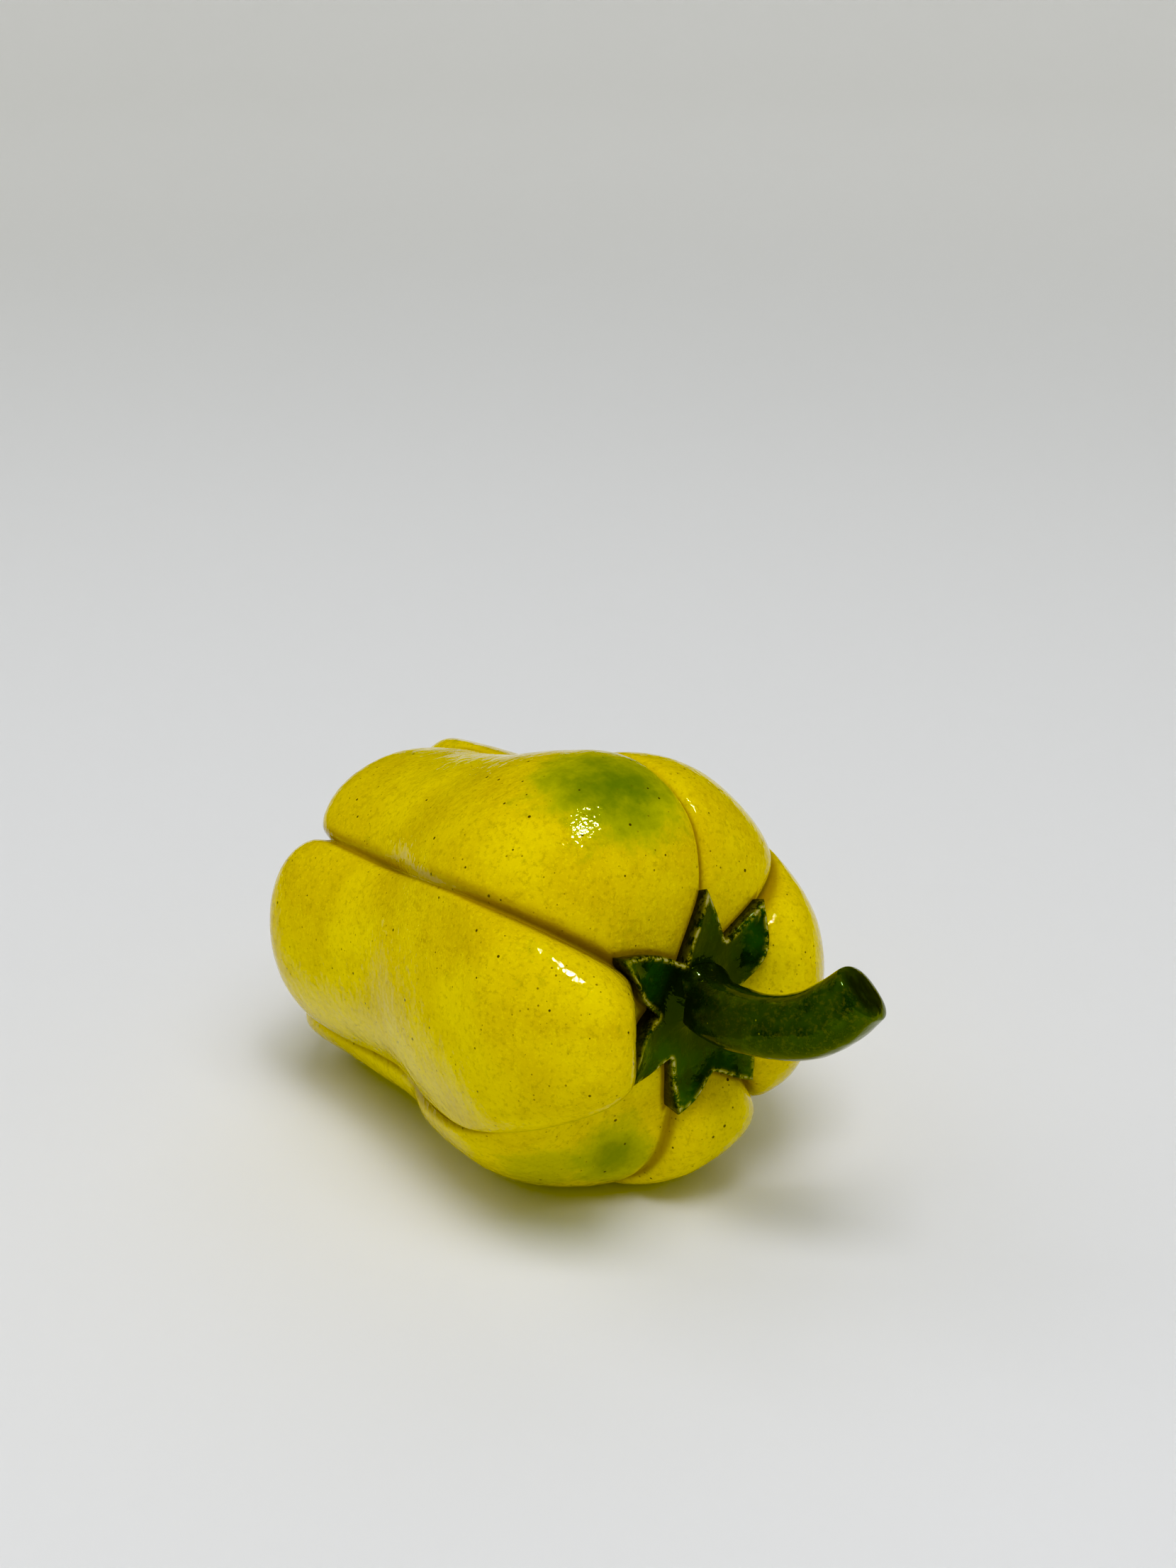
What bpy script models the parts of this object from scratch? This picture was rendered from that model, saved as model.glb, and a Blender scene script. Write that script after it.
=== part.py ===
"""Bell pepper built by hand in stoneware and glazed: a six-lobed body lying on its side, a star-shaped
calyx pressed on its stem end and a thick curved stem. +X runs from the blossom end to the stem."""
import math
from functools import lru_cache

import bmesh
import bpy
import numpy as np
from mathutils import Matrix, Vector
from mathutils.bvhtree import BVHTree

MM = 0.001

# Lobes in order round the pepper, by the side each faces at rest. Each gives, in mm: how far it
# swells toward the blossom end, its radius there, at the waist and at the shoulder, and how far
# the shoulder stands toward the stem.
LOBES = {
    "top": (40.3, 29.2, 32.3, 38.1, 44.1),
    "front": (41.0, 32.0, 31.1, 36.6, 55.4),
    "front_foot": (50.1, 31.2, 33.0, 37.7, 39.6),
    "back_foot": (47.8, 31.2, 32.4, 36.6, 47.2),
    "back": (48.0, 33.0, 32.5, 35.4, 50.4),
    "back_top": (47.2, 30.5, 31.3, 37.3, 43.3),
}
# Grooves, each before the lobe of the same place in the list: angle from the top in degrees, then
# how far it leans, waves and bows along the body in degrees.
GROOVES = [
    (-15.6, -10.4, -5.3, 0.0),
    (48.9, 2.1, 0.0, 2.8),
    (121.1, 2.1, 7.2, 3.0),
    (168.1, 2.9, -1.3, 0.0),
    (214.7, -0.6, -1.8, 0.0),
    (296.5, 10.8, 0.4, 0.0),
]
GROOVE = (34.0, 29.5, 29.4, 36.1, 42.5)  # the same five sizes as a lobe's, at the bottom of a groove
WAIST_X = -5.0
BLOSSOM_DIMPLE_X, STEM_SEAT_X = -37.0, 42.3
LOBE_FULLNESS, LOBE_ROUNDING = 3.0, 1.6
TILT = 5.34  # degrees that the stem end stands up from the table
AXIS_MIDDLE = (-13.3, 0.6, 33.2)  # where the middle of the axis lies, in mm; below the table is ground flat
COLUMNS_PER_LOBE, RINGS = 12, 40

GAP = 0.3  # between the body and the calyx, and between the calyx and the stem
CALYX_THICK, CALYX_TOP_X = 2.8, 45.8
# Tips and notches of the star in turn: angle from the top in degrees and distance from the axis.
STAR_TIPS = [(346, 19.5), (48, 18.6), (122, 16.8), (168, 17.8), (215, 19.4), (309, 21.8)]
STAR_NOTCHES = [(5, 8.0), (84, 6.8), (146, 8.8), (195, 12.4), (258, 8.0), (321, 12.4)]
STAR_HOLLOW = 1.5  # how hollow the edges are between the tips
STAR_STEPS, STAR_RINGS = 6, 7

# The middle of the stem from its foot to its cut end, in mm, with its half thickness at each place.
STEM_PATH = [
    ((47.2, 1.4, 0.7), 5.0),
    ((50.2, 1.5, 0.4), 4.9),
    ((56.0, 2.0, 0.3), 4.9),
    ((62.5, 3.6, 0.8), 5.0),
    ((67.3, 5.8, 2.2), 5.3),
    ((70.9, 8.0, 4.7), 5.3),
    ((73.8, 9.9, 7.7), 4.9),
]
STEM_SQUARE = 2.6  # 2 is round, more is squarer
STEM_SIDES, STEM_RINGS = 20, 22
STEM_END_DOME = 0.9


def spline(points, place):
    """The point at `place` from 0 to 1 on a smooth curve through the points."""
    count = len(points)
    at = min(max(place, 0.0), 1.0) * (count - 1)
    first = min(int(at), count - 2)
    near, far = Vector(points[first]), Vector(points[first + 1])
    before = Vector(points[first - 1]) if first else 2 * near - far
    after = Vector(points[first + 2]) if first + 2 < count else 2 * far - near
    f = at - first
    return 0.5 * (2 * near + (far - before) * f + (2 * before - 5 * near + 4 * far - after) * f ** 2
                  + (3 * near - before - 3 * far + after) * f ** 3)


@lru_cache(maxsize=None)
def meridian(sizes):
    """Stations (x, distance from the axis) down one lobe or groove from the blossom end to the stem
    end, and the slope of a smooth curve at each. The curve goes on as its own mirror image past the
    axis, so the skin is smooth at both ends."""
    blossom, r_blossom, r_waist, r_shoulder, shoulder = sizes
    rise = (WAIST_X + shoulder - 26) / 2, 0.45 * r_waist + 0.55 * 0.985 * r_shoulder
    points = [
        (BLOSSOM_DIMPLE_X, 0), (1.5 - blossom, 0.28 * r_blossom), (-blossom, 0.55 * r_blossom),
        (6 - blossom, 0.88 * r_blossom), (16 - blossom, r_blossom), (WAIST_X, r_waist), rise,
        (shoulder - 26, 0.985 * r_shoulder), (shoulder - 15, 0.98 * r_shoulder), (shoulder - 4, 0.82 * r_shoulder),
        (shoulder, 0.55 * r_shoulder), (STEM_SEAT_X + 1.2, 0.30 * r_shoulder), (STEM_SEAT_X, 0),
    ]
    loop = np.array(points + [(x, -r) for x, r in reversed(points[1:-1])])
    one = np.eye(len(loop))
    pull = 4 * one + np.roll(one, 1, axis=0) + np.roll(one, -1, axis=0)
    slopes = np.linalg.solve(pull, 3 * (np.roll(loop, -1, axis=0) - np.roll(loop, 1, axis=0)))
    return loop[:len(points)], slopes[:len(points)]


def along_meridian(sizes, place):
    stations, slopes = meridian(sizes)
    at = place * (len(stations) - 1)
    first = min(int(at), len(stations) - 2)
    f = at - first
    (near, far), (leave, arrive) = stations[first:first + 2], slopes[first:first + 2]
    return ((1 + 2 * f) * near + f * leave) * (1 - f) ** 2 + ((3 - 2 * f) * far + (f - 1) * arrive) * f ** 2


def groove_angle(groove, place):
    angle, lean, wave, bow = groove
    turn = math.pi * place
    return angle + lean * (2 * place - 1) + wave * math.sin(2 * turn) + bow * math.sin(turn) ** 2


def around_axis(x, distance, degrees):
    angle = math.radians(degrees)
    return Vector((x, -distance * math.sin(angle), distance * math.cos(angle)))


def body_point(turn, place):
    """A point of the pepper's skin: turn is 0 to 1 round it, place is 0 to 1 from blossom to stem."""
    at = (turn % 1.0) * len(LOBES)
    index = min(int(at), len(LOBES) - 1)
    across = math.sin((2 * (at - index) - 1) * math.pi / 2)
    before, after = GROOVES[index], GROOVES[(index + 1) % len(GROOVES)]
    share = (across + 1) / 2
    crest, low = along_meridian(list(LOBES.values())[index], place), along_meridian(GROOVE, place)
    swell = (1 - abs(across) ** LOBE_FULLNESS) ** (1 / LOBE_ROUNDING)
    x, distance = low + (crest - low) * swell
    start, end = groove_angle(before, place), groove_angle(after, place)
    end += 360 if end < start else 0
    return around_axis(x, distance, start + (end - start) * share)


def star_radius(degrees):
    """Distance from the axis to the edge of the star, whose edges are hollow between sharp tips."""
    for tip_angle, tip in STAR_TIPS:
        away = (degrees - tip_angle + 180) % 360 - 180
        side = [((a - tip_angle + 180) % 360 - 180, r) for a, r in STAR_NOTCHES]
        side = [(a, r) for a, r in side if a * away >= 0]
        notch_angle, notch = min(side, key=lambda pair: abs(pair[0]))
        if abs(away) <= abs(notch_angle):
            return notch + (tip - notch) * (1 - abs(away / notch_angle)) ** STAR_HOLLOW
    return 0.0


def seat_height(tree, y, z):
    """How far the body stands toward the stem under a place of the calyx and close beside it."""
    reach = 0.5
    spots = [(0, 0)] + [(reach * math.cos(k * math.pi / 4), reach * math.sin(k * math.pi / 4)) for k in range(8)]
    hits = [tree.ray_cast(Vector((90, y + dy, z + dz)), Vector((-1, 0, 0)))[0] for dy, dz in spots]
    return max(hit.x for hit in hits if hit)


def shaped_ball(columns, rings, shape):
    """A ball with each vertex moved to shape(column, ring); the first and last ring are its poles."""
    bm = bmesh.new()
    bmesh.ops.create_uvsphere(bm, u_segments=columns, v_segments=rings, radius=1)
    for vert in bm.verts:
        column = round(math.atan2(vert.co.y, vert.co.x) / math.tau * columns) % columns
        ring = round(math.acos(max(-1.0, min(1.0, -vert.co.z))) / math.pi * rings)
        vert.co = shape(column, ring)
    return bm


def build_body():
    """Its rings run from the blossom end to the stem end, swollen into the six lobes."""
    columns = COLUMNS_PER_LOBE * len(LOBES)
    return shaped_ball(columns, RINGS, lambda column, ring: body_point(column / columns, ring / RINGS))


def build_calyx(body):
    """A slab of clay cut to a star and pressed on the shoulders, so its underside follows them."""
    tree = BVHTree.FromBMesh(body)
    corners = sorted(angle for angle, _ in STAR_TIPS + STAR_NOTCHES)
    angles = [a + (b - a) * step / STAR_STEPS for a, b in zip(corners, corners[1:] + [corners[0] + 360])
              for step in range(STAR_STEPS)]
    last = 2 * STAR_RINGS + 1

    def shape(column, ring):
        share = min(ring, last - ring) / STAR_RINGS
        point = around_axis(0, share * star_radius(angles[column]), angles[column])
        point.x = seat_height(tree, point.y, point.z) + GAP
        if ring > STAR_RINGS:
            point.x = max(CALYX_TOP_X, point.x + CALYX_THICK)
        return point

    return shaped_ball(len(angles), last, shape)


def build_stem():
    """A squarish rope of clay that leaves along the axis and curves up and away to a cut end."""
    last = STEM_RINGS + 4

    def shape(column, ring):
        place = min(max((ring - 2) / STEM_RINGS, 0), 1)
        path, sizes = [point for point, _ in STEM_PATH], [(size, 0, 0) for _, size in STEM_PATH]
        middle = spline(path, place)
        along = (spline(path, place + 0.01) - spline(path, place - 0.01)).normalized()
        side = along.cross(Vector((0, 0, 1))).normalized()
        turn = math.tau * column / STEM_SIDES
        c, s = math.cos(turn), math.sin(turn)
        squared = (abs(c) ** STEM_SQUARE + abs(s) ** STEM_SQUARE) ** (-1 / STEM_SQUARE)
        share = min(ring / 2, 1) if ring < 2 else min((last - ring) / 2, 1)
        out = (side * c + side.cross(along) * s) * squared * spline(sizes, place).x * share
        point = middle + out + along * (STEM_END_DOME * (1 - share ** 2) if ring > 2 else 0)
        return point

    return shaped_ball(STEM_SIDES, last, shape)


def finish(name, bm, stand, material, colour, roughness):
    """Stands the piece on the table, grinds it flat where it would reach under and glazes it."""
    bmesh.ops.transform(bm, matrix=stand, verts=bm.verts)
    for vert in bm.verts:
        vert.co.z = max(vert.co.z, 0)
    bmesh.ops.recalc_face_normals(bm, faces=bm.faces)
    mesh = bpy.data.meshes.new(name)
    bm.to_mesh(mesh)
    bm.free()
    mesh.shade_smooth()
    mesh.set_sharp_from_angle(angle=math.radians(50))
    glaze = bpy.data.materials.new(material)
    glaze.use_nodes = True
    shader = glaze.node_tree.nodes["Principled BSDF"]
    shader.inputs["Base Color"].default_value = (*colour, 1)
    shader.inputs["Roughness"].default_value = roughness
    mesh.materials.append(glaze)
    pepper.objects.link(bpy.data.objects.new(name, mesh))


for thing in list(bpy.data.objects):
    bpy.data.objects.remove(thing)
pepper = bpy.data.collections.new("bell_pepper")
bpy.context.scene.collection.children.link(pepper)

body = build_body()
calyx = build_calyx(body)
stem = build_stem()
tilt = Matrix.Rotation(-math.radians(TILT), 4, "Y")
stand = Matrix.Scale(MM, 4) @ Matrix.Translation(AXIS_MIDDLE) @ tilt
finish("pepper_body", body, stand, "yellow_glaze", (0.60, 0.42, 0.002), 0.15)
finish("calyx", calyx, stand, "dark_green_glaze", (0.015, 0.04, 0.004), 0.15)
finish("stem", stem, stand, "olive_green_glaze", (0.03, 0.06, 0.006), 0.18)
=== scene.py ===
# %% [markdown]
# # A bell pepper built by hand in stoneware
# The real thing is three pieces of clay joined while soft: a six-lobed body, a star-shaped calyx cut
# from a slab and laid in the hollow of the shoulders, and a thick stem. Each wears its own gloss
# glaze: yellow with green blushes over speckled clay, and two dark greens. It lies on its side.
#
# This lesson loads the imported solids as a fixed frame, then builds a finer skin for each piece in
# exactly the same place, glazes it, and lights it on pale paper.

# %% Load the frame
import math
from functools import lru_cache

import bmesh
import bpy
import numpy as np
from mathutils import Matrix, Vector, noise
from mathutils.bvhtree import BVHTree


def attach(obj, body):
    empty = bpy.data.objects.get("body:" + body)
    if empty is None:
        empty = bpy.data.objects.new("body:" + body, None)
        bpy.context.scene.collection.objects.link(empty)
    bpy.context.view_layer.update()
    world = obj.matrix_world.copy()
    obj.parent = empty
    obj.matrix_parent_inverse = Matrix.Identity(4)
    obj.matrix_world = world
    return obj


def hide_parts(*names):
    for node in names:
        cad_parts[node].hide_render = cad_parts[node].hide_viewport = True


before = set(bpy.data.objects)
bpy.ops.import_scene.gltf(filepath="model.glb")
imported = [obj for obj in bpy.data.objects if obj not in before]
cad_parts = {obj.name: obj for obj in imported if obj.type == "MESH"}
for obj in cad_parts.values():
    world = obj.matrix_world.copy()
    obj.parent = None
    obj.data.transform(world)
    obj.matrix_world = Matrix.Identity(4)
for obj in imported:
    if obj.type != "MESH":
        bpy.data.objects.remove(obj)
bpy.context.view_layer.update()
MM = 0.001

# %% [markdown]
# ## Two small helpers
# Colours are easiest to read as sRGB hex, but a shader wants linear light, so one function turns the
# one into the other. A second one adds a shader node with its settings and its links in one line.
# An input given as a socket is linked, and anything else is set as its value.

# %% Colour and node helpers
def linear(hex_colour):
    values = [int(hex_colour[k:k + 2], 16) / 255 for k in (1, 3, 5)]
    return (*[v / 12.92 if v <= 0.04045 else ((v + 0.055) / 1.055) ** 2.4 for v in values], 1.0)


def add(tree, kind, inputs=None, **settings):
    made = tree.nodes.new("ShaderNode" + kind)
    for name, value in settings.items():
        setattr(made, name, value)
    for name, value in (inputs or {}).items():
        if isinstance(value, bpy.types.NodeSocket):
            tree.links.new(value, made.inputs[name])
        else:
            made.inputs[name].default_value = value
    return made


print("mid grey #808080 is", round(linear("#808080")[0], 3), "in linear light")

# %% [markdown]
# ## The lie of the pepper
# A pepper's own axis runs from its blossom end to its stem, and lying down it leans a little, here
# with the stem end up. All shapes below are worked out in millimetres round that axis (x along it,
# angles from the top of it), and one matrix then lays them in the frame.

# %% Axis and matrix
TILT = 5.34  # degrees that the stem end leans up
AXIS_MIDDLE = (-13.3, 0.6, 33.2)  # mm from the frame's origin to the middle of the axis
lie = (Matrix.Scale(MM, 4) @ Matrix.Translation(AXIS_MIDDLE)
       @ Matrix.Rotation(-math.radians(TILT), 4, "Y"))


def around_axis(x, distance, degrees):
    angle = math.radians(degrees)
    return Vector((x, -distance * math.sin(angle), distance * math.cos(angle)))


print("the stem end leans up by", TILT, "degrees")

# %% [markdown]
# ## The lobes
# A potter makes the lobes by pressing grooves down a rounded form, so every lobe swells its own
# way. Each is described by five sizes along its crest, and the grooves by the same five sizes and
# by the way they wander. It could be sculpted freely, but sizes keep it in the frame: they are the
# ones the solid body has.

# %% Lobe and groove sizes in millimetres
LOBES = {  # swell to the blossom end, radius there, at the waist, at the shoulder, swell to the stem
    "top": (40.3, 29.2, 32.3, 38.1, 44.1),
    "front": (41.0, 32.0, 31.9, 36.6, 55.4),
    "front_foot": (50.1, 31.2, 33.0, 37.7, 39.6),
    "back_foot": (47.8, 31.2, 32.4, 36.6, 47.2),
    "back": (48.0, 33.0, 32.5, 35.4, 50.4),
    "back_top": (47.2, 30.5, 31.3, 37.3, 43.3),
}
GROOVES = [  # angle from the top, lean, wave and bow along the body, in degrees
    (-15.6, -10.4, -5.3, 0.0),
    (48.9, 2.1, 0.0, 2.8),
    (121.1, 2.1, 7.2, 3.0),
    (168.1, 2.9, -1.3, 0.0),
    (214.7, -0.6, -1.8, 0.0),
    (296.5, 10.8, 0.4, 0.0),
]
GROOVE = (34.0, 29.5, 29.4, 36.1, 42.5)  # the same five sizes, down in a groove
WAIST_X = -5.0
BLOSSOM_DIMPLE_X, STEM_SEAT_X = -37.0, 42.3  # the two ends, where all the lobes meet
longest = max(blossom + shoulder for blossom, *_, shoulder in LOBES.values())
print(len(LOBES), "lobes, the longest", round(longest, 1), "mm from swell to swell")

# %% [markdown]
# ## Curves down the crests and grooves
# A crest dips at both ends and at the waist, and is round everywhere else. A few stations, worked
# out from its five sizes, and a smooth curve through them say all of that. A Bezier curve would do
# too, but its handles would have to be set by hand for each lobe.

# %% Crest and groove curves
@lru_cache(maxsize=None)
def meridian(sizes):
    """Stations (x, distance from the axis) down one lobe or groove from the blossom end to the stem
    end, and the slope of a smooth curve at each. The curve goes on as its own mirror image past the
    axis, so the skin is smooth at both ends."""
    blossom, r_blossom, r_waist, r_shoulder, shoulder = sizes
    barrel_x, r_barrel = shoulder - 26, 0.985 * r_shoulder  # where the shoulder's long round begins
    rise = (WAIST_X + barrel_x) / 2, 0.45 * r_waist + 0.55 * r_barrel
    points = [
        (BLOSSOM_DIMPLE_X, 0), (1.5 - blossom, 0.28 * r_blossom), (-blossom, 0.55 * r_blossom),
        (6 - blossom, 0.88 * r_blossom), (16 - blossom, r_blossom), (WAIST_X, r_waist), rise,
        (barrel_x, r_barrel), (shoulder - 15, 0.98 * r_shoulder), (shoulder - 4, 0.82 * r_shoulder),
        (shoulder, 0.55 * r_shoulder), (STEM_SEAT_X + 1.2, 0.30 * r_shoulder), (STEM_SEAT_X, 0),
    ]
    loop = np.array(points + [(x, -r) for x, r in reversed(points[1:-1])])
    one = np.eye(len(loop))
    pull = 4 * one + np.roll(one, 1, axis=0) + np.roll(one, -1, axis=0)
    slopes = np.linalg.solve(pull, 3 * (np.roll(loop, -1, axis=0) - np.roll(loop, 1, axis=0)))
    return loop[:len(points)], slopes[:len(points)]


def along_meridian(sizes, place):
    stations, slopes = meridian(sizes)
    at = place * (len(stations) - 1)
    first = min(int(at), len(stations) - 2)
    f = at - first
    (near, far), (leave, arrive) = stations[first:first + 2], slopes[first:first + 2]
    return ((1 + 2 * f) * near + f * leave) * (1 - f) ** 2 + ((3 - 2 * f) * far + (f - 1) * arrive) * f ** 2


print("the top lobe's crest has", len(meridian(LOBES["top"])[0]), "stations")

# %% [markdown]
# ## The skin between them
# Between two grooves the skin rises to the crest and falls again, like a cushion pressed between
# two cords. The whole closed skin starts as a ball, and each vertex is moved to its place on the
# pepper, so there is no seam to close and both poles come out smooth.

# %% Skin
LOBE_FULLNESS, LOBE_ROUNDING = 3.0, 1.6  # how flat a lobe is across, how softly it meets its grooves
COLUMNS, RINGS = 288, 220  # about 0.8 mm between vertices
# How far the pooled glaze and painted shade reach up the two sides of each groove, in mm: most where the side
# is steep.
POOL_AND_SHADE_WIDTHS = [(0.5, 0.5), (2.3, 0.6), (0.9, 1.1), (0.5, 0.5), (0.8, 0.8), (0.8, 0.8)]


def groove_angle(groove, place):
    angle, lean, wave, bow = groove
    turn = math.pi * place
    return angle + lean * (2 * place - 1) + wave * math.sin(2 * turn) + bow * math.sin(turn) ** 2


def skin(column, ring):
    """A point of the skin, how many mm it is from the nearest groove, and how far the pooled glaze and
    painted shade reach.
    """
    at = (column / COLUMNS) * len(LOBES)
    index = int(at)
    across = math.sin((2 * (at - index) - 1) * math.pi / 2)
    before, after = GROOVES[index], GROOVES[(index + 1) % len(GROOVES)]
    share = (across + 1) / 2
    crest = along_meridian(list(LOBES.values())[index], ring / RINGS)
    low = along_meridian(GROOVE, ring / RINGS)
    swell = (1 - abs(across) ** LOBE_FULLNESS) ** (1 / LOBE_ROUNDING)
    x, distance = low + (crest - low) * swell
    start, end = (groove_angle(groove, ring / RINGS) for groove in (before, after))
    end += 360 if end < start else 0
    from_groove = (1 - abs(across)) * math.radians(end - start) / 2 * distance
    pool_and_shade = POOL_AND_SHADE_WIDTHS[index][1] if across < 0 else POOL_AND_SHADE_WIDTHS[(index + 1) % len(POOL_AND_SHADE_WIDTHS)][0]
    return around_axis(x, distance, start + (end - start) * share), from_groove, pool_and_shade


def shaped_ball(columns, rings, shape):
    """A ball with each vertex moved to shape(column, ring); the first and last ring are its poles."""
    bm = bmesh.new()
    bmesh.ops.create_uvsphere(bm, u_segments=columns, v_segments=rings, radius=1)
    for number, vert in enumerate(bm.verts):
        column = round(math.atan2(vert.co.y, vert.co.x) / math.tau * columns) % columns
        ring = round(math.acos(max(-1.0, min(1.0, -vert.co.z))) / math.pi * rings)
        vert.co = shape(number, column, ring)
    return bm


print(COLUMNS * RINGS, "vertices in the skin")

# %% [markdown]
# ## The star's outline
# The calyx is a six-pointed star whose tips lie in the six grooves, cut free-hand, so no two arms
# are alike. Each tip and each notch between two tips is an angle round the axis and a distance from
# it. The outline comes first, because the yellow glaze along it, against the slab, is thick there
# and is also painted darker as shade.

# %% Star outline
STAR_TIPS = [(346, 19.5), (48, 18.6), (122, 18.8), (168, 17.8), (215, 19.4), (309, 21.8)]
STAR_NOTCHES = [(5, 8.0), (84, 6.8), (146, 8.8), (195, 12.4), (258, 8.0), (321, 12.4)]
STAR_HOLLOW = 1.5  # above 1, the edges from tip to notch are hollow


def star_radius(degrees):
    """Distance from the axis to the edge of the star, whose edges are hollow between sharp tips."""
    for tip_angle, tip in STAR_TIPS:
        away = (degrees - tip_angle + 180) % 360 - 180
        side = [((a - tip_angle + 180) % 360 - 180, r) for a, r in STAR_NOTCHES]
        side = [(a, r) for a, r in side if a * away >= 0]
        notch_angle, notch = min(side, key=lambda pair: abs(pair[0]))
        if abs(away) <= abs(notch_angle):
            return notch + (tip - notch) * (1 - abs(away / notch_angle)) ** STAR_HOLLOW
    return 0.0


def angle_of(point):
    return math.degrees(math.atan2(-point.y, point.z)) % 360


print("the longest arm reaches", max(tip for _, tip in STAR_TIPS), "mm from the axis")

# %% [markdown]
# ## The body
# Real clay is never as even as a formula. A wooden tool has run down each groove and left a narrow
# crease, and fingers have left slow dents. The dents are pushed along the skin's own normals, by
# noise at three sizes, and the crease toward the middle of the barrel, by its distance from the
# groove. How much the glaze pools at each vertex, with painted shade in the grooves and round the
# star, is kept on the mesh, to colour it later.

# %% Body mesh
CREASE_DEPTH, CREASE_WIDTH = 0.75, 0.8  # mm
DENTS = [(26.0, 0.60), (10.0, 0.22), (4.2, 0.07)]  # width and depth in mm
SINK = 0.25  # mm, keeps the dented skin inside the frame's box
CORE_ENDS = -20, 22  # mm, the middle line of the barrel, toward which the grooves are pressed


def build_body():
    """The skin with its creases and dents, still in millimetres round its axis."""
    def shape(number, column, ring):
        point, *grooves[number] = skin(column, ring)
        return point

    grooves = {}
    bm = shaped_ball(COLUMNS, RINGS, shape)
    pooled_glaze_and_shade = bm.verts.layers.float.new("pooled_glaze_and_shade")
    bm.normal_update()
    for number, vert in enumerate(bm.verts):
        (d, pool_and_shade), place = grooves[number], vert.co.copy()
        out = math.hypot(place.y, place.z)
        shore = min(1.0, out / 14) if place.x > 0 else min(1.0, out / 8)  # creases die out at the ends
        clear = 1 - math.exp(-(d / 1.6) ** 2)  # dents fade into the grooves, where walls nearly meet
        dent = sum(depth * noise.noise(place / size + Vector((size, 0, 7))) for size, depth in DENTS)
        core = Vector((min(max(place.x, CORE_ENDS[0]), CORE_ENDS[1]), 0, 0))
        crease = CREASE_DEPTH * math.exp(-(d / CREASE_WIDTH) ** 2) * shore
        vert.co = place + vert.normal * (dent * clear - SINK) + (core - place).normalized() * crease
        # pooled glaze and painted shade along the star's edge, where the slab meets the body
        pool_and_shade_at_star = 0.0
        if place.x > 38 and out < 30:  # in the hollow of the shoulders, where the slab lies
            beyond = out - star_radius(angle_of(place))
            pool_and_shade_at_star = math.exp(-(max(beyond, 0) / 1.2) ** 2)
        # pooled glaze and painted shade, by the grooves and by the star
        vert[pooled_glaze_and_shade] = max(math.exp(-(d / pool_and_shade) ** 2) * shore, pool_and_shade_at_star)
    return bm


body_skin = build_body()
body_tree = BVHTree.FromBMesh(body_skin)
print("body skin:", len(body_skin.faces), "faces")

# %% [markdown]
# ## The calyx
# The calyx is a slab about three millimetres thick, cut to the star and pressed down. It could be
# an extruded outline, but a pressed slab follows what is under it, so here a ball is flattened to a
# star: its lower half drops on the body, its upper half makes the top, rounded where the knife's
# edge was smoothed by the glaze. The walls lean outward, as a knife held at a slant leaves them,
# and above the stem's foot the clay is smeared up against the stem.
#
# Three values are kept on the mesh for the glaze: edge is the line where it breaks thin, wall the
# steep side under that line, painted dark as shade, and thick the middle, where the glaze gathers
# round the stem and painted shade darkens it.

# %% Calyx mesh
SLAB, SLAB_LEAST = 2.8, 1.7  # mm thick in the middle, and at least anywhere
SLAB_TOP_X = 45.8  # mm along the axis, level over the dimple
EDGE_ROUND = 0.7  # mm
UNDERCUT = 0.7  # mm that the edges lean outward
EASE_OVER = 3.5  # mm over which the top of the slab evens out what it lies on
STAR_COLUMNS = 240
# Rings of vertices as shares of the way out, closest together at the rounded edge.
SHARES = [0, 0.10, 0.20, 0.30, 0.40, 0.50, 0.59, 0.67, 0.74, 0.80, 0.85, 0.89,
          0.92, 0.945, 0.965, 0.98, 0.99, 1]
SMEAR, SMEAR_OUT = 2.0, 3.5  # mm that its clay rises against the stem, and spreads from it
FOOT_MIDDLE, FOOT_OUT = (2.0, 0.6), 4.4  # where the stem stands on it, across the axis


def seat(y, z):
    """How far along the axis the body's skin is, under the slab."""
    return body_tree.ray_cast(Vector((90, y, z)), Vector((-1, 0, 0)))[0].x


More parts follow.
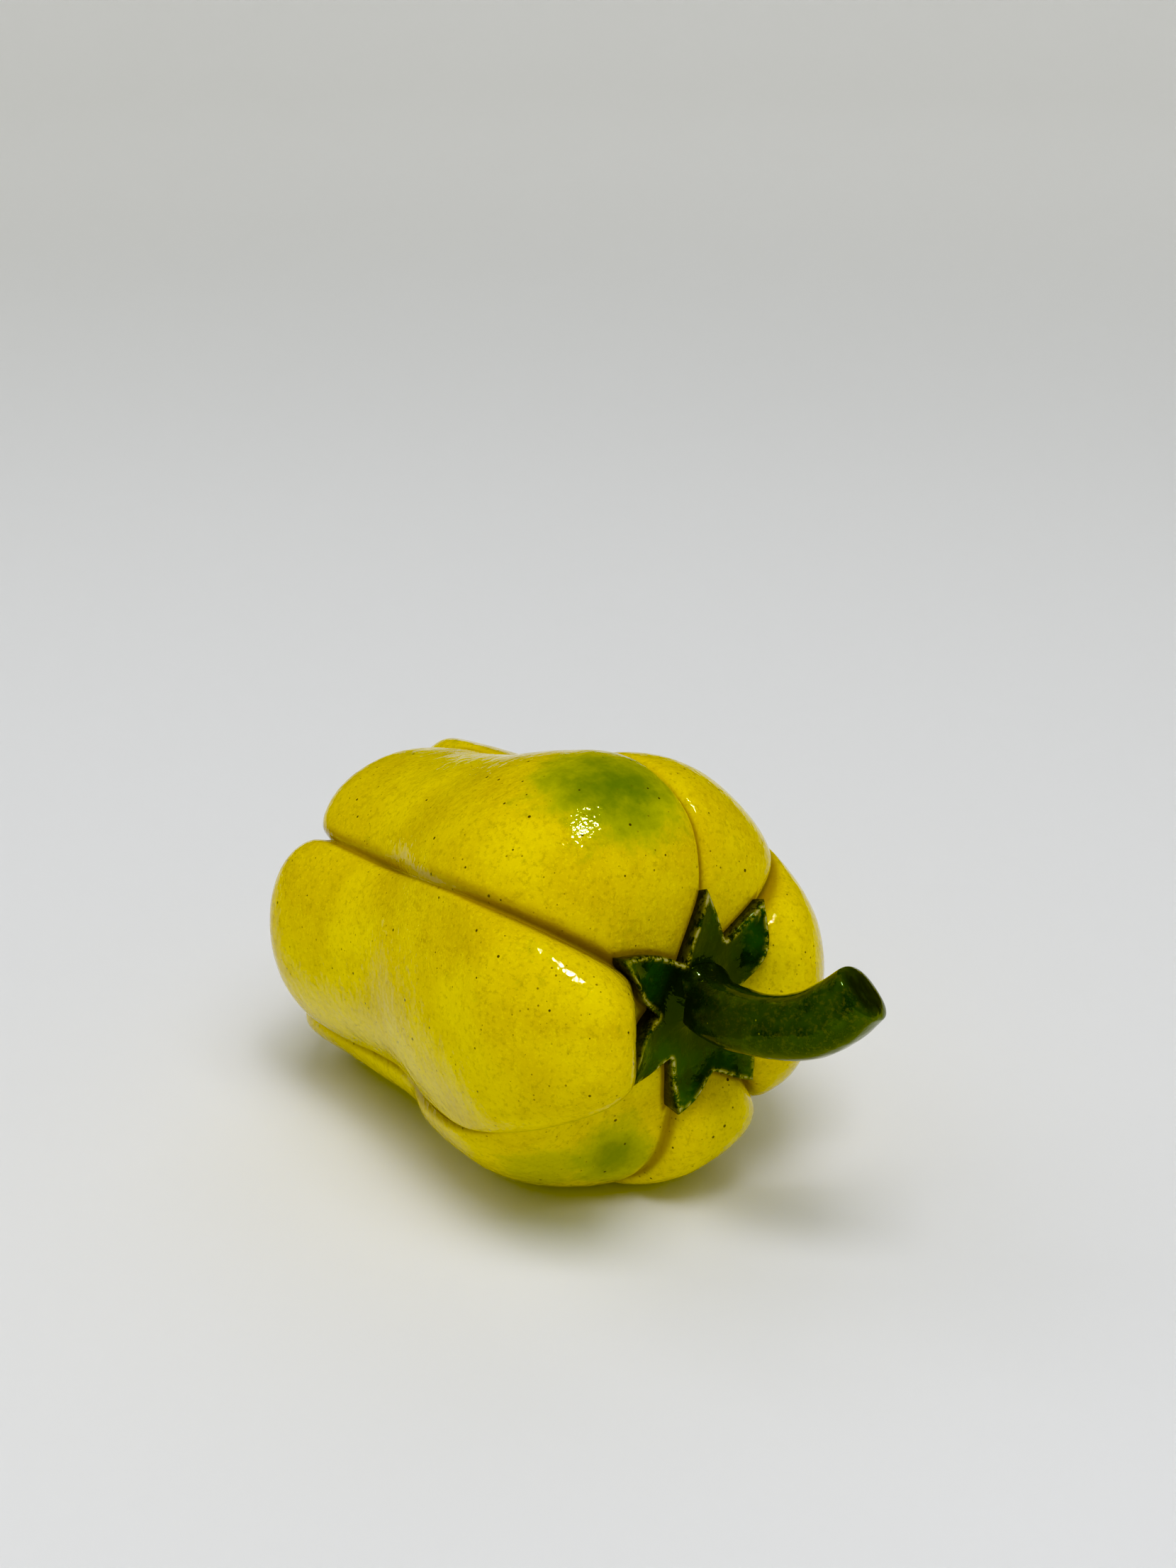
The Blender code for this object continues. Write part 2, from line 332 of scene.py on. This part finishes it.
def build_calyx():
    corners = sorted(angle for angle, _ in STAR_TIPS + STAR_NOTCHES)
    steps = STAR_COLUMNS // len(corners)
    angles = [a + (b - a) * step / steps for a, b in zip(corners, corners[1:] + [corners[0] + 360])
              for step in range(steps)]
    rim = [around_axis(0, star_radius(a), a) for a in angles]
    last = 2 * len(SHARES) - 1
    around = [(math.cos(k * math.pi / 5), math.sin(k * math.pi / 5)) for k in range(10)]
    spots = [(0, 0)] + [(EASE_OVER * reach * c, EASE_OVER * reach * s)
                        for c, s in around for reach in (0.4, 0.7, 1.0)]

    def from_rim(point, column):
        """How many mm a point is inside the outline."""
        near = [rim[(column + k) % len(rim)] for k in range(-30, 31)]
        best = 1e9
        for a, b in zip(near, near[1:]):
            along = max(0.0, min(1.0, (point - a).dot(b - a) / (b - a).length_squared))
            best = min(best, (a + (b - a) * along - point).length)
        return best

    def shape(number, column, ring):
        share = SHARES[min(ring, last - ring)]
        reach = star_radius(angles[column]) - (UNDERCUT if ring < len(SHARES) else 0)
        point = around_axis(0, share * reach, angles[column])
        under = seat(point.y, point.z)
        if ring < len(SHARES):
            point.x = under - 0.1
            return point
        d = from_rim(point, column)
        drop = EDGE_ROUND - math.sqrt(max(0.0, EDGE_ROUND ** 2 - max(0.0, EDGE_ROUND - d) ** 2))
        even = sum(max(SLAB_TOP_X, seat(point.y + dy, point.z + dz) + SLAB) for dy, dz in spots)
        even /= len(spots)
        least = under + SLAB_LEAST
        top = (even + least + math.sqrt((even - least) ** 2 + 0.3)) / 2
        away = Vector((point.y - FOOT_MIDDLE[0], point.z - FOOT_MIDDLE[1]))
        toward = away.normalized()
        smear = max(0.0, 1 - max(0.0, away.length - FOOT_OUT) / SMEAR_OUT) ** 2
        smear *= max(0.0, min(1.2, 0.3 + 0.9 * toward.y - 0.7 * toward.x))  # above and to one side
        point.x = top - 0.3 - drop + SMEAR * smear
        point.x += 0.16 * noise.noise(Vector((0, point.y, point.z)) / 5) + 0.05 * noise.noise(point / 1.6)
        edges[number] = d
        return point

    edges = {}
    bm = shaped_ball(len(angles), last, shape)
    edge = bm.verts.layers.float.new("edge")
    shaded_wall = bm.verts.layers.float.new("shaded_wall")
    thick_glaze_and_shade = bm.verts.layers.float.new("thick_glaze_and_shade")
    for number, vert in enumerate(bm.verts):
        d = edges.get(number, -1.0)
        vert[edge] = math.exp(-((d - 0.42) / 0.30) ** 2)
        # the steep wall under the edge, painted dark as shade
        vert[shaded_wall] = min(1.0, max(0.0, 1.2 - d / 0.25))
        away = math.hypot(vert.co.y - FOOT_MIDDLE[0], vert.co.z - FOOT_MIDDLE[1] - 1.5)
        # thick glaze round the stem's foot, darkened too as painted shade
        vert[thick_glaze_and_shade] = math.exp(-(max(0.0, away - 6.5) / 4.0) ** 2)
    return bm


calyx_slab = build_calyx()
print("calyx:", len(calyx_slab.faces), "faces")

# %% [markdown]
# ## The stem
# The stem is a rope of clay, squarish from being patted on a board, that leaves along the axis and
# curves up and away to a cut end. A curve with a round bevel would be quicker, but it gives neither
# the flats nor the foot, where the clay is smeared on to the calyx above and undercut below.
#
# First comes a small helper for a smooth path through a few points.

# %% Smooth path
def spline(points, place):
    """The point at `place` from 0 to 1 on a smooth curve through the points."""
    count = len(points)
    at = min(max(place, 0.0), 1.0) * (count - 1)
    first = min(int(at), count - 2)
    near, far = Vector(points[first]), Vector(points[first + 1])
    before = Vector(points[first - 1]) if first else 2 * near - far
    after = Vector(points[first + 2]) if first + 2 < count else 2 * far - near
    f = at - first
    return 0.5 * (2 * near + (far - before) * f + (2 * before - 5 * near + 4 * far - after) * f ** 2
                  + (3 * near - before - 3 * far + after) * f ** 3)


print("halfway from 0 to 4 by way of 1:", round(spline([(0, 0, 0), (1, 0, 0), (4, 0, 0)], 0.5).x, 2))

# %% [markdown]
# The stem is again a ball whose rings are moved to their places: three rings close the foot, a
# hundred or so follow the path, and the rest make the rounded rim and the flat of the cut end. Two
# values go on the mesh for the glaze: rim, where the foot is undercut, and thick, at the foot and
# on the cut end, where the glaze gathers and painted shade darkens it.

# %% Stem mesh
STEM_PATH = [  # middle and half thickness in mm
    ((45.8, 2.1, 0.8), 4.4),
    ((50.2, 1.7, 0.4), 4.7),
    ((56.0, 2.0, 0.3), 4.9),
    ((62.5, 3.6, 0.8), 5.0),
    ((67.3, 5.8, 2.2), 5.3),
    ((70.9, 8.0, 4.7), 5.3),
    ((73.8, 9.9, 7.7), 4.9),
]
STEM_SQUARE = 2.7  # 2 would be round
STEM_TURN = 20  # degrees that its flats are turned round it
STEM_SIDES, STEM_RINGS = 72, 110
FOOT_SPREAD, FOOT_LIFT = 1.8, 1.3  # mm that the foot spreads above and lifts below


def build_stem():
    path, sizes = [point for point, _ in STEM_PATH], [(size, 0, 0) for _, size in STEM_PATH]
    cut_end = [1.0, 0.985, 0.94, 0.86, 0.74, 0.6, 0.44, 0.28, 0.12]  # rings inward over the cut end
    last = 3 + STEM_RINGS + len(cut_end)

    def shape(number, column, ring):
        place = min(max((ring - 3) / STEM_RINGS, 0), 1)
        middle = spline(path, place)
        along = (spline(path, place + 0.01) - spline(path, place - 0.01)).normalized()
        side = along.cross(Vector((0, 0, 1))).normalized()
        turn = math.tau * column / STEM_SIDES
        c, s = math.cos(turn), math.sin(turn)
        squared = (abs(c) ** STEM_SQUARE + abs(s) ** STEM_SQUARE) ** (-1 / STEM_SQUARE)
        turn += math.radians(STEM_TURN)
        c, s = math.cos(turn), math.sin(turn)
        share, ahead = 1.0, 0.0
        if ring < 3:
            share = ring / 3
        if ring >= 3 + STEM_RINGS:
            past = ring - 3 - STEM_RINGS
            share = cut_end[past] if past < len(cut_end) else 0.0
            ahead = 0.9 * math.sqrt(max(0.0, 1 - share ** 4))
        at_foot = math.exp(-place * 12)
        spread = FOOT_SPREAD * at_foot * max(0.0, s + 0.2)
        below = max(0.0, 0.1 - s - 0.5 * c)  # under the foot, on the side away from the smeared clay
        lift = FOOT_LIFT * at_foot * below * share
        out = (side * c + side.cross(along) * s) * (squared * spline(sizes, place).x + spread) * share
        point = middle + out + along * (ahead + lift)
        rims[number] = math.exp(-(place / 0.03) ** 2) * min(1.0, 2 * below) * share
        at_end = 1.0 - share if ring > 3 + STEM_RINGS else 0.0
        # thick glaze and painted shade, at the foot and on the cut end
        thick_glaze_and_shades[number] = max(math.exp(-(place / 0.45) ** 2), min(1.0, 3 * at_end))
        dents = 0.18 * noise.noise(point / 6) + 0.05 * noise.noise(point / 2)
        return point + out.normalized() * dents

    rims, thick_glaze_and_shades = {}, {}
    bm = shaped_ball(STEM_SIDES, last, shape)
    rim = bm.verts.layers.float.new("rim")
    thick_glaze_and_shade = bm.verts.layers.float.new("thick_glaze_and_shade")
    for number, vert in enumerate(bm.verts):
        vert[rim] = rims[number]
        vert[thick_glaze_and_shade] = thick_glaze_and_shades[number]
    return bm


stem_rope = build_stem()
print("stem:", len(stem_rope.faces), "faces")

# %% [markdown]
# ## From clay to objects
# Each mesh is laid in the frame with its place in its mesh, its faces turned outward, its underside
# ground flat on the table, and shaded smooth.

# %% Finish the pieces
def finish(name, bm, node):
    bmesh.ops.transform(bm, matrix=lie, verts=bm.verts)
    for vert in bm.verts:
        vert.co.z = max(vert.co.z, 0)
    bmesh.ops.recalc_face_normals(bm, faces=bm.faces)
    mesh = bpy.data.meshes.new(name)
    bm.to_mesh(mesh)
    bm.free()
    mesh.shade_smooth()
    piece = bpy.data.objects.new(name, mesh)
    bpy.context.scene.collection.objects.link(piece)
    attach(piece, "root")
    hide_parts(node)
    return piece


body = finish("glazed_body", body_skin, "pepper_body")
calyx = finish("glazed_calyx", calyx_slab, "calyx")
stem = finish("glazed_stem", stem_rope, "stem")
print([piece.name for piece in (body, calyx, stem)])

# %% [markdown]
# ## What the glazes share
# A glaze is never one flat colour: it is mottled at several sizes at once, and specks come up from
# the clay. These helpers make such patterns from real sizes in millimetres, and mix colours by them.
# They all read the piece's own place in space, so a pattern doesn't stretch over the lobes.

# %% Glaze helpers
def glaze_material(name):
    material = bpy.data.materials.new(name)
    material.use_nodes = True
    tree = material.node_tree
    return material, tree, tree.nodes["Principled BSDF"], add(tree, "TexCoord").outputs["Object"]


def mix(tree, amount, low, high):
    """Colour low where amount is 0, colour high where it is 1."""
    return add(tree, "Mix", {0: amount, 6: low, 7: high}, data_type="RGBA").outputs[2]


def ramp(tree, value, low, high, to_low=0.0, to_high=1.0):
    return add(tree, "MapRange", {"Value": value, "From Min": low, "From Max": high, "To Min": to_low,
                                  "To Max": to_high}, interpolation_type="SMOOTHSTEP").outputs[0]


def mottle(tree, place, size_mm, detail=2.0, roughness=0.5):
    return add(tree, "TexNoise", {"Vector": place, "Scale": 1000 / size_mm, "Detail": detail,
                                  "Roughness": roughness}).outputs["Fac"]


def specks(tree, place, cell_mm, biggest, chance):
    """1 on round specks, one at most in each cell, up to `biggest` of a cell in radius."""
    cells = add(tree, "TexVoronoi", {"Vector": place, "Scale": 1000 / cell_mm})
    lot = add(tree, "SeparateColor", {"Color": cells.outputs["Color"]}).outputs[0]
    size = ramp(tree, lot, 1 - chance, 1.0, 0.0, biggest)
    edge = add(tree, "Math", {0: size, 1: cells.outputs["Distance"]}, operation="SUBTRACT").outputs[0]
    return ramp(tree, edge, 0.0, 0.03)


def product(tree, one, other):
    return add(tree, "Math", {0: one, 1: other}, operation="MULTIPLY").outputs[0]


def blush(tree, place, middle_mm, size_mm):
    """1 in the middle of a soft brushed patch, 0 outside it, its edge broken up by noise."""
    at = add(tree, "Mapping", {"Vector": place, "Location": [v * MM for v in middle_mm],
                               "Scale": [v * MM for v in size_mm]}, vector_type="TEXTURE").outputs[0]
    ball = add(tree, "TexGradient", {"Vector": at}, gradient_type="SPHERICAL").outputs["Fac"]
    ragged = add(tree, "Math", {0: mottle(tree, place, 6, 6.0, 0.7), 1: -0.5}, operation="ADD").outputs[0]
    return add(tree, "Math", {0: ragged, 1: 0.9, 2: ball}, operation="MULTIPLY_ADD").outputs[0]


print("a 3 mm mottle has scale", round(1000 / 3), "in metres")

# %% [markdown]
# ## Yellow glaze over speckled clay
# A gloss glaze is glass, so it has glass's index of about 1.5 and is nearly smooth. Iron in the clay
# bleeds up as dark specks a third of a millimetre across, with many fainter ones. The glaze is
# amber where it pools in the grooves and against the star, darkened there as painted shade, and
# has a green blush brushed on two shoulders. Its skin has a slight orange peel, which breaks a
# lamp's image into sparks.

# %% Yellow glaze
yellow, tree, shader, place = glaze_material("yellow_gloss_glaze_on_speckled_stoneware")
colour = mix(tree, ramp(tree, mottle(tree, place, 16, 3.0), 0.35, 0.65), linear("#d8bc00"), linear("#e8d000"))
for size, detail, low, high, tint in [  # mottle in mm, where it shows, its colour
    (3.0, 4.0, 0.45, 0.75, "#b89a00"),
    (0.9, 3.0, 0.50, 0.68, "#a08400"),
    (0.6, 3.0, 0.52, 0.66, "#f2de20"),
]:
    shows = ramp(tree, mottle(tree, place, size, detail, 0.7), low, high, 0.0, 0.4)
    colour = mix(tree, shows, colour, linear(tint))
patches = [  # middle and size in mm, strength of the olive and of the green in it
    ((16.4, -2.6, 71.5), (20, 17, 13), 0.8, 0.9),
    ((26.3, -10.8, 11.8), (10, 10, 11), 0.7, 0.7),
    ((21.5, -21.0, 10.0), (12, 9, 10), 0.5, 0.1),
]
for middle, size, olive_share, green_share in patches:
    patch = blush(tree, place, middle, size)
    colour = mix(tree, ramp(tree, patch, 0.08, 0.5, 0.0, olive_share), colour, linear("#a0a808"))
    colour = mix(tree, ramp(tree, patch, 0.3, 0.95, 0.0, green_share), colour, linear("#506c0c"))
pooled_glaze_and_shade = add(tree, "Attribute", attribute_name="pooled_glaze_and_shade").outputs["Fac"]
# amber of pooled glaze, darkened as painted shade in the grooves and round the star
colour = mix(tree, ramp(tree, pooled_glaze_and_shade, 0.1, 1.0, 0.0, 0.8), colour, linear("#8a6600"))
dark_specks = specks(tree, place, 2.1, 0.15, 0.5)
crowded = ramp(tree, mottle(tree, place, 9), 0.4, 0.6, 0.2, 0.8)
faint_specks = product(tree, specks(tree, place, 1.1, 0.19, 0.6), crowded)
colour = mix(tree, faint_specks, colour, linear("#6a5000"))
colour = mix(tree, product(tree, dark_specks, 0.92), colour, linear("#2c1600"))
tree.links.new(colour, shader.inputs["Base Color"])
shader.inputs["IOR"].default_value = 1.5
shader.inputs["Specular Tint"].default_value = (1.0, 0.96, 0.5, 1.0)
rough = ramp(tree, mottle(tree, place, 4, 3.0), 0.3, 0.7, 0.04, 0.09)
tree.links.new(rough, shader.inputs["Roughness"])
peel = add(tree, "Bump", {"Height": mottle(tree, place, 1.7, 2.0), "Strength": 1.0, "Distance": 0.00018})
fine = add(tree, "Bump", {"Height": mottle(tree, place, 0.7, 3.0, 0.6), "Strength": 0.6, "Distance": 0.00009,
                          "Normal": peel.outputs[0]})
tree.links.new(fine.outputs[0], shader.inputs["Normal"])
body.data.materials.append(yellow)
print("yellow glaze:", len(tree.nodes), "nodes")

# %% [markdown]
# ## Dark green glaze on the calyx
# Copper green looks almost black where it is thick round the stem's foot, darkened there too as
# painted shade. The steep walls, rough from the knife, shine less and are painted near-black as
# shade. Where it runs thin over the slab's edges the clay shows through as a khaki crust, broken
# here and there where the glaze held on.

# %% Dark green glaze
dark_green, tree, shader, place = glaze_material("dark_copper_green_gloss_glaze")
cloudy = ramp(tree, mottle(tree, place, 6, 4.0, 0.6), 0.36, 0.66)
colour = mix(tree, cloudy, linear("#051203"), linear("#123a07"))
breaks = ramp(tree, mottle(tree, place, 1.6, 4.0, 0.7), 0.52, 0.7, 0.0, 0.35)
colour = mix(tree, breaks, colour, linear("#4a5514"))
thick_glaze_and_shade = add(tree, "Attribute", attribute_name="thick_glaze_and_shade").outputs["Fac"]
# near-black of thick glaze and painted shade round the stem's foot
colour = mix(tree, product(tree, thick_glaze_and_shade, 0.85), colour, linear("#040c02"))
shaded_wall = add(tree, "Attribute", attribute_name="shaded_wall").outputs["Fac"]
# painted shade: the steep walls near-black
colour = mix(tree, product(tree, shaded_wall, 0.9), colour, linear("#080904"))
edge = add(tree, "Attribute", attribute_name="edge").outputs["Fac"]
crust = product(tree, edge, ramp(tree, mottle(tree, place, 1.3, 4.0, 0.7), 0.42, 0.58))
crust = product(tree, crust, ramp(tree, mottle(tree, place, 8), 0.3, 0.55, 0.35, 1.0))
colour = mix(tree, crust, colour, linear("#b4aa7c"))
tree.links.new(colour, shader.inputs["Base Color"])
tree.links.new(ramp(tree, shaded_wall, 0.0, 1.0, 0.28, 0.08), shader.inputs["Specular IOR Level"])
shader.inputs["IOR"].default_value = 1.5
shader.inputs["Specular Tint"].default_value = (0.6, 1.0, 0.5, 1.0)
tree.links.new(ramp(tree, mottle(tree, place, 3, 3.0), 0.3, 0.7, 0.06, 0.16), shader.inputs["Roughness"])
bump = add(tree, "Bump", {"Height": mottle(tree, place, 1.8, 3.0), "Strength": 0.6, "Distance": 0.0003})
tree.links.new(bump.outputs[0], shader.inputs["Normal"])
calyx.data.materials.append(dark_green)
print("dark green glaze:", len(tree.nodes), "nodes")

# %% [markdown]
# ## Olive green glaze on the stem
# The same green with more iron, brushed on thinner: it breaks to olive and brown, with a few pale
# grains of clay, and only the foot and the cut end are dark, where it gathered and where shade is
# painted on.

# %% Olive glaze
olive, tree, shader, place = glaze_material("olive_green_gloss_glaze")
cloudy = ramp(tree, mottle(tree, place, 8, 4.0, 0.6), 0.42, 0.58)
colour = mix(tree, cloudy, linear("#0b2402"), linear("#263c06"))
breaks = ramp(tree, mottle(tree, place, 0.8, 5.0, 0.75), 0.48, 0.66, 0.0, 0.6)
colour = mix(tree, breaks, colour, linear("#52520e"))
pale = specks(tree, place, 1.2, 0.16, 0.25)
colour = mix(tree, product(tree, pale, 0.6), colour, linear("#a0a070"))
thick_glaze_and_shade = add(tree, "Attribute", attribute_name="thick_glaze_and_shade").outputs["Fac"]
thick_glaze_and_shade = product(tree, thick_glaze_and_shade, ramp(tree, mottle(tree, place, 3, 4.0, 0.7), 0.35, 0.55, 0.6, 1.0))
# dark of thick glaze and painted shade, at the foot and on the cut end
colour = mix(tree, thick_glaze_and_shade, colour, linear("#061002"))
tree.links.new(ramp(tree, thick_glaze_and_shade, 0.0, 1.0, 0.45, 0.15), shader.inputs["Specular IOR Level"])
rim = add(tree, "Attribute", attribute_name="rim").outputs["Fac"]
crust = product(tree, rim, ramp(tree, mottle(tree, place, 1.3, 4.0), 0.35, 0.55))
colour = mix(tree, crust, colour, linear("#8f8a4a"))
tree.links.new(colour, shader.inputs["Base Color"])
shader.inputs["IOR"].default_value = 1.5
shader.inputs["Specular Tint"].default_value = (0.6, 1.0, 0.5, 1.0)
tree.links.new(ramp(tree, mottle(tree, place, 3, 3.0), 0.3, 0.7, 0.06, 0.16), shader.inputs["Roughness"])
bump = add(tree, "Bump", {"Height": mottle(tree, place, 2.2, 3.0), "Strength": 0.5, "Distance": 0.0003})
tree.links.new(bump.outputs[0], shader.inputs["Normal"])
stem.data.materials.append(olive)
print("olive glaze:", len(tree.nodes), "nodes")

# %% [markdown]
# ## Paper
# The pepper lies on matt white paper that sweeps up far behind it. A flat sheet would end in a hard
# line, so a profile is spun to a wide bowl: a level disc, and a rising rim that starts level too.
# The rim is left out of reflections, because it would lay a milky veil on the shoulders, and the
# paper is paler out there, where less light falls on it.

# %% Paper bowl
def build_paper(name, profile):
    bm = bmesh.new()
    verts = [bm.verts.new((x, 0, z)) for x, z in profile]
    edges = [bm.edges.new(pair) for pair in zip(verts, verts[1:])]
    bmesh.ops.spin(bm, geom=verts + edges, cent=(0, 0, 0), axis=(0, 0, 1), angle=math.tau, steps=72,
                   use_merge=True)
    bmesh.ops.remove_doubles(bm, verts=bm.verts, dist=1e-5)
    bmesh.ops.recalc_face_normals(bm, faces=bm.faces)
    mesh = bpy.data.meshes.new(name)
    bm.to_mesh(mesh)
    bm.free()
    mesh.shade_smooth()
    paper = bpy.data.objects.new(name, mesh)
    bpy.context.scene.collection.objects.link(paper)
    return paper


matt, tree, shader, place = glaze_material("matt_white_paper")
far = ramp(tree, add(tree, "VectorMath", {0: place}, operation="LENGTH").outputs["Value"], 0.5, 1.5)
tree.links.new(mix(tree, far, linear("#e8e9ec"), linear("#fcfcfc")), shader.inputs["Base Color"])
shader.inputs["Roughness"].default_value = 0.9
shader.inputs["Specular IOR Level"].default_value = 0.0
table_paper = build_paper("table_paper", [(0.0, 0.0), (0.9, 0.0)])
rising_profile = [(0.9, 0.0), (1.05, 0.0), (1.3, 0.05), (1.5, 0.25), (1.6, 0.6), (1.6, 1.3)]
rising_paper = build_paper("rising_paper", rising_profile)
rising_paper.visible_glossy = False
for paper in (table_paper, rising_paper):
    paper.data.materials.append(matt)
print("paper laid")

# %% [markdown]
# ## Light
# The light is a bright room's: four wide soft lamps, strongest from above in front, give the broad
# pale shadow under the belly. Their images would be large white patches in the glaze, so they are
# hidden from reflections, and one small lamp, which lights nothing else, makes the sparks. The
# display curve takes out the last trace of blue, so that deep yellows and greens stay pure.

# %% Lights
def lamp(name, where, size, power, sparks=False):
    """A lamp that either lights the pepper softly or only sparks on its glaze."""
    light = bpy.data.lights.new(name, "AREA")
    light.shape, light.size, light.size_y, light.energy = "RECTANGLE", size[0], size[1], power
    holder = bpy.data.objects.new(name, light)
    holder.location = where
    holder.rotation_euler = (Vector((0, 0, 0.035)) - Vector(where)).to_track_quat("-Z", "Y").to_euler()
    holder.visible_glossy, holder.visible_diffuse = sparks, not sparks
    bpy.context.scene.collection.objects.link(holder)


lamp("ceiling_tube", (0.12, 0.05, 1.0), (0.03, 0.06), 4.0, sparks=True)
lamp("soft_front", (0.35, -0.30, 1.30), (0.6, 0.6), 8.3)
lamp("soft_right", (0.60, -0.05, 1.20), (0.6, 0.6), 3.5)
lamp("soft_left", (-0.80, -0.45, 0.90), (0.8, 0.8), 2.1)
lamp("soft_back", (-0.60, 0.80, 0.90), (0.8, 0.8), 1.3)
world = bpy.data.worlds.new("pale_room")
bpy.context.scene.world = world
world.use_nodes = True
world.node_tree.nodes["Background"].inputs["Color"].default_value = linear("#e8ecee")
world.node_tree.nodes["Background"].inputs["Strength"].default_value = 0.08
view = bpy.context.scene.view_settings
view.view_transform = "Standard"
view.use_curve_mapping = True
view.curve_mapping.black_level = (0.0, 0.0, 0.065)  # deep colours lose their last trace of blue
view.curve_mapping.update()
print("lamps:", len(bpy.data.lights))

# %% [markdown]
# ## Camera
# The camera stands at arm's length, a little above the table and round from the stem's side, so
# that two long lobes, the star and the stem all show. It is aimed past the pepper's middle, to
# leave more room above it and to its right.

# %% Camera
AZIMUTH, ELEVATION = math.radians(50.78), math.radians(22.04)
DISTANCE = 0.40616  # metres
ASIDE, ABOVE = 0.0301, 0.0652  # as shares of the distance
turned = Matrix.Rotation(AZIMUTH, 3, "Z") @ Matrix.Rotation(math.pi / 2 - ELEVATION, 3, "X")
right, up, back = turned.col[0], turned.col[1], turned.col[2]
lens = bpy.data.cameras.new("camera")
lens.sensor_width, lens.lens = 36, 53.7
camera = bpy.data.objects.new("camera", lens)
camera.rotation_euler = turned.to_euler()
camera.location = Vector(AXIS_MIDDLE) * MM + DISTANCE * (back + ASIDE * right + ABOVE * up)
bpy.context.scene.collection.objects.link(camera)
bpy.context.scene.camera = camera
print("camera at", [round(v, 3) for v in camera.location])
